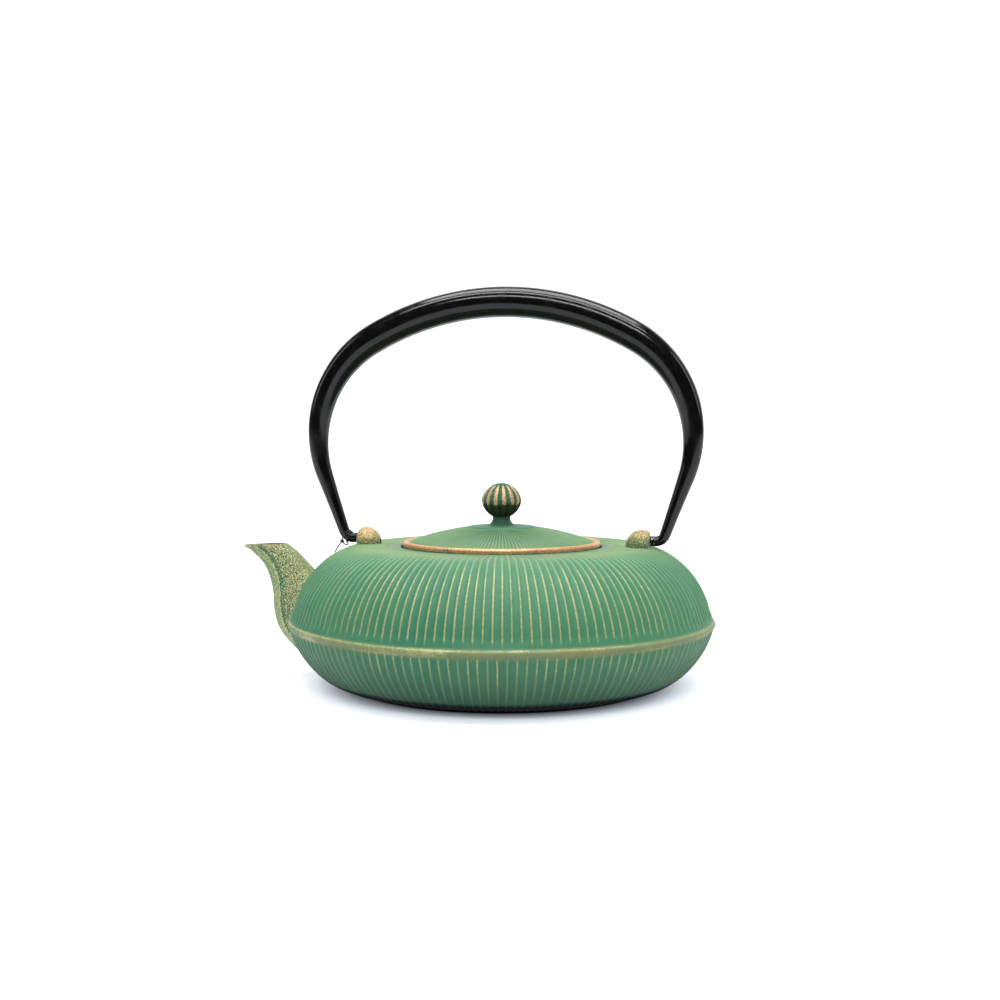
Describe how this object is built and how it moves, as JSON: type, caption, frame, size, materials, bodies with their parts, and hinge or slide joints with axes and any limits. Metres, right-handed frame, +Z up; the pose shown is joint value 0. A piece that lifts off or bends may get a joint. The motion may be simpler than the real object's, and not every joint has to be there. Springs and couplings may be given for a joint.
{
  "type": "cast iron teapot",
  "caption": "Low round cast iron teapot with fine vertical ribs, a short spout, a domed lid with a ball knob, a lift-out tea basket and a tall swinging bail handle.",
  "frame": {"origin": "on the pot's axis at the surface it stands on, in the middle of the flat pad under its base", "axes": "+Z up along the pot's axis; the spout points to -X; the bail's hinge axis runs along X"},
  "size_m": [0.2073, 0.1826, 0.1697],
  "materials": {
    "painted_iron": "matt green paint over cast iron, gold rubbed on the ribs, band, rim, spout and lugs",
    "knob_paint": "green paint with rubbed bronze ribs",
    "bare_iron": "dark iron",
    "stainless": "satin stainless sheet",
    "steel_mesh": "fine woven stainless mesh",
    "black_lacquer": "glossy black lacquer",
    "black_thread": "twisted thread"
  },
  "bodies": {
    "pot": {"pot_casting": "painted_iron"},
    "lid": {"lid_casting": "painted_iron", "lid_knob": "knob_paint", "knob_rivet": "bare_iron", "knob_washer": "bare_iron"},
    "basket": {"basket_rim": "stainless", "basket_mesh_wall": "steel_mesh", "basket_mesh_floor": "steel_mesh", "basket_bottom_band": "stainless"},
    "bail": {"bail_tube": "black_lacquer", "tag_thread_coil": "black_thread", "tag_thread_knot": "black_thread", "tag_thread": "black_thread"}
  },
  "joints": [
    {"name": "bail_swing", "type": "hinge", "parent": "pot", "child": "bail", "pos_m": [0, 0, 0.0615], "axis": [1, 0, 0], "range_deg": [-100, 100]},
    {"name": "lid_lift", "type": "slide", "parent": "pot", "child": "lid", "axis": [0, 0, 1], "range_m": [0, 0.06]},
    {"name": "basket_lift", "type": "slide", "parent": "pot", "child": "basket", "axis": [0, 0, 1], "range_m": [0, 0.051]}
  ],
  "couplings": [
    {"joint": "basket_lift", "follows": "lid_lift", "ratio": 0.85}
  ]
}
